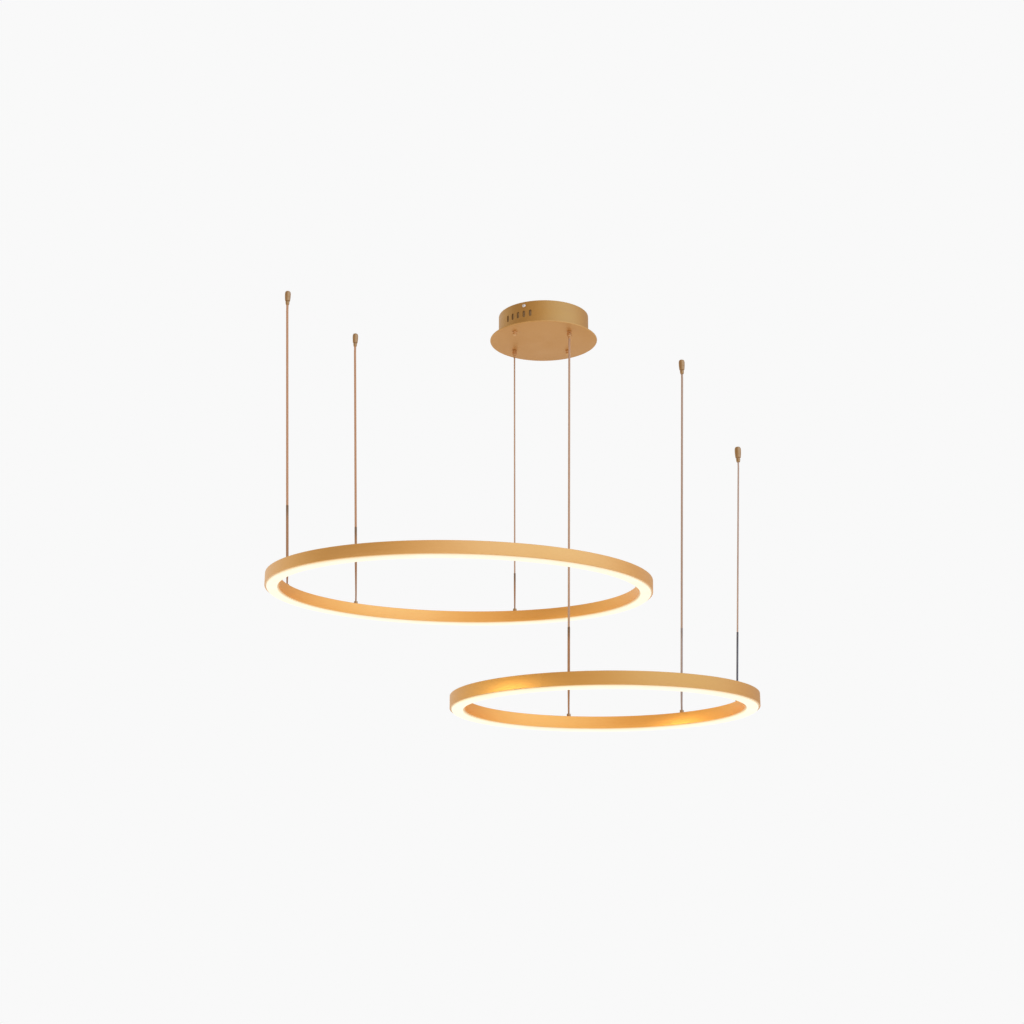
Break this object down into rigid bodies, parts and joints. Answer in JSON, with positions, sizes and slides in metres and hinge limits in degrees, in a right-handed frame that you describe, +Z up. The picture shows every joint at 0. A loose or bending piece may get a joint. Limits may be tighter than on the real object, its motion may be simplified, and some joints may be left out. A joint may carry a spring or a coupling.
{
  "type": "led ring chandelier",
  "caption": "Ceiling pendant of two offset horizontal gold rings lit from below, hung on thin cables from a round canopy and separate ceiling anchors.",
  "frame": {"origin": "centre of the canopy's ceiling face, in the plane of the ceiling", "axes": "+Z up; +X to the right and +Y away from the viewer of the picture"},
  "size_m": [0.9916, 0.8397, 0.986],
  "materials": {
    "gold_aluminium": "satin brushed, gold anodised",
    "gold_steel": "satin gold lacquer on sheet steel",
    "gold_brass": "turned, satin gold plated",
    "opal_diffuser": "opal silicone or acrylic, lit warm white from inside",
    "tan_cable": "fine textile cord with a rose tan jacket",
    "circuit_strip": "white flexible circuit",
    "phosphor": "warm phosphor",
    "zinc_steel": "zinc plated",
    "nickel_screw": "bright nickel",
    "driver_plastic": "moulded white plastic",
    "terminal_plastic": "moulded natural nylon",
    "lead_insulation": "matt black insulation",
    "brass_inside": "turned"
  },
  "bodies": {
    "canopy": {"ceiling_bar": "zinc_steel", "mounting_plate": "zinc_steel", "bar_rivet": "zinc_steel", "canopy_drum": "gold_steel", "canopy_plate": "gold_steel", "side_screws": "nickel_screw", "cover_studs": "zinc_steel", "stud_nuts": "zinc_steel", "cap_nuts": "gold_brass", "driver_large_ring": "driver_plastic", "driver_small_ring": "driver_plastic", "driver_screws": "zinc_steel", "terminal_block": "terminal_plastic", "canopy_leads": "lead_insulation", "grip_large_feed": "gold_brass", "grip_small_feed": "gold_brass", "grip_nuts": "zinc_steel", "grip_collets": "brass_inside", "anchor_left_front": "gold_brass", "anchor_left_rear": "gold_brass", "cable_left_front": "tan_cable", "cable_left_rear": "tan_cable", "cable_large_feed": "tan_cable", "cable_small_feed": "tan_cable", "cable_right_rear": "tan_cable", "cable_right_front": "tan_cable", "spring_left_front": "zinc_steel", "spring_left_rear": "zinc_steel", "spring_large_feed": "zinc_steel", "spring_small_feed": "zinc_steel"},
    "large_ring": {"large_ring_channel": "gold_aluminium", "large_ring_diffuser": "opal_diffuser", "large_ring_led_strip": "circuit_strip", "large_ring_led_chips": "phosphor", "large_ring_splice_plate": "zinc_steel", "large_ring_splice_screws": "zinc_steel", "large_ring_hangers": "gold_brass"},
    "small_ring": {"small_ring_channel": "gold_aluminium", "small_ring_diffuser": "opal_diffuser", "small_ring_led_strip": "circuit_strip", "small_ring_led_chips": "phosphor", "small_ring_splice_plate": "zinc_steel", "small_ring_splice_screws": "zinc_steel", "small_ring_hangers": "gold_brass"},
    "anchor_right_rear": {"anchor_right_rear": "gold_brass", "collet_right_rear": "brass_inside", "spring_right_rear": "zinc_steel"},
    "anchor_right_front": {"anchor_right_front": "gold_brass", "collet_right_front": "brass_inside", "spring_right_front": "zinc_steel"},
    "release_left_front": {"release_left_front": "gold_brass"},
    "release_left_rear": {"release_left_rear": "gold_brass"},
    "release_large_feed": {"release_large_feed": "gold_brass"},
    "release_small_feed": {"release_small_feed": "gold_brass"},
    "release_right_rear": {"release_right_rear": "gold_brass"},
    "release_right_front": {"release_right_front": "gold_brass"}
  },
  "joints": [
    {"name": "large_ring_height", "type": "slide", "parent": "canopy", "child": "large_ring", "axis": [0, 0, 1], "range_m": [0, 0.3], "deforming": ["cable_left_front", "cable_left_rear", "cable_large_feed"]},
    {"name": "small_ring_height", "type": "slide", "parent": "canopy", "child": "small_ring", "axis": [0, 0, 1], "range_m": [0, 0.07], "deforming": ["cable_small_feed", "cable_right_rear", "cable_right_front"]},
    {"name": "right_rear_anchor_height", "type": "slide", "parent": "canopy", "child": "anchor_right_rear", "axis": [0.0308, 0.0001, 0.9995], "range_m": [0, 0.17108]},
    {"name": "right_front_anchor_height", "type": "slide", "parent": "canopy", "child": "anchor_right_front", "axis": [0.0442, 0.0006, 0.999], "range_m": [0, 0.41941]},
    {"name": "left_front_release", "type": "slide", "parent": "canopy", "child": "release_left_front", "axis": [0, 0, 1], "range_m": [0, 0.002], "stiffness_N_per_m": 400, "springref_m": -0.002, "deforming": ["spring_left_front"]},
    {"name": "left_rear_release", "type": "slide", "parent": "canopy", "child": "release_left_rear", "axis": [0, 0, 1], "range_m": [0, 0.002], "stiffness_N_per_m": 400, "springref_m": -0.002, "deforming": ["spring_left_rear"]},
    {"name": "large_feed_release", "type": "slide", "parent": "canopy", "child": "release_large_feed", "axis": [0, 0, 1], "range_m": [0, 0.002], "stiffness_N_per_m": 400, "springref_m": -0.002, "deforming": ["spring_large_feed"]},
    {"name": "small_feed_release", "type": "slide", "parent": "canopy", "child": "release_small_feed", "axis": [0, 0, 1], "range_m": [0, 0.002], "stiffness_N_per_m": 400, "springref_m": -0.002, "deforming": ["spring_small_feed"]},
    {"name": "right_rear_release", "type": "slide", "parent": "anchor_right_rear", "child": "release_right_rear", "axis": [0, 0, 1], "range_m": [0, 0.002], "stiffness_N_per_m": 400, "springref_m": -0.002, "deforming": ["spring_right_rear"]},
    {"name": "right_front_release", "type": "slide", "parent": "anchor_right_front", "child": "release_right_front", "axis": [0, 0, 1], "range_m": [0, 0.002], "stiffness_N_per_m": 400, "springref_m": -0.002, "deforming": ["spring_right_front"]}
  ]
}
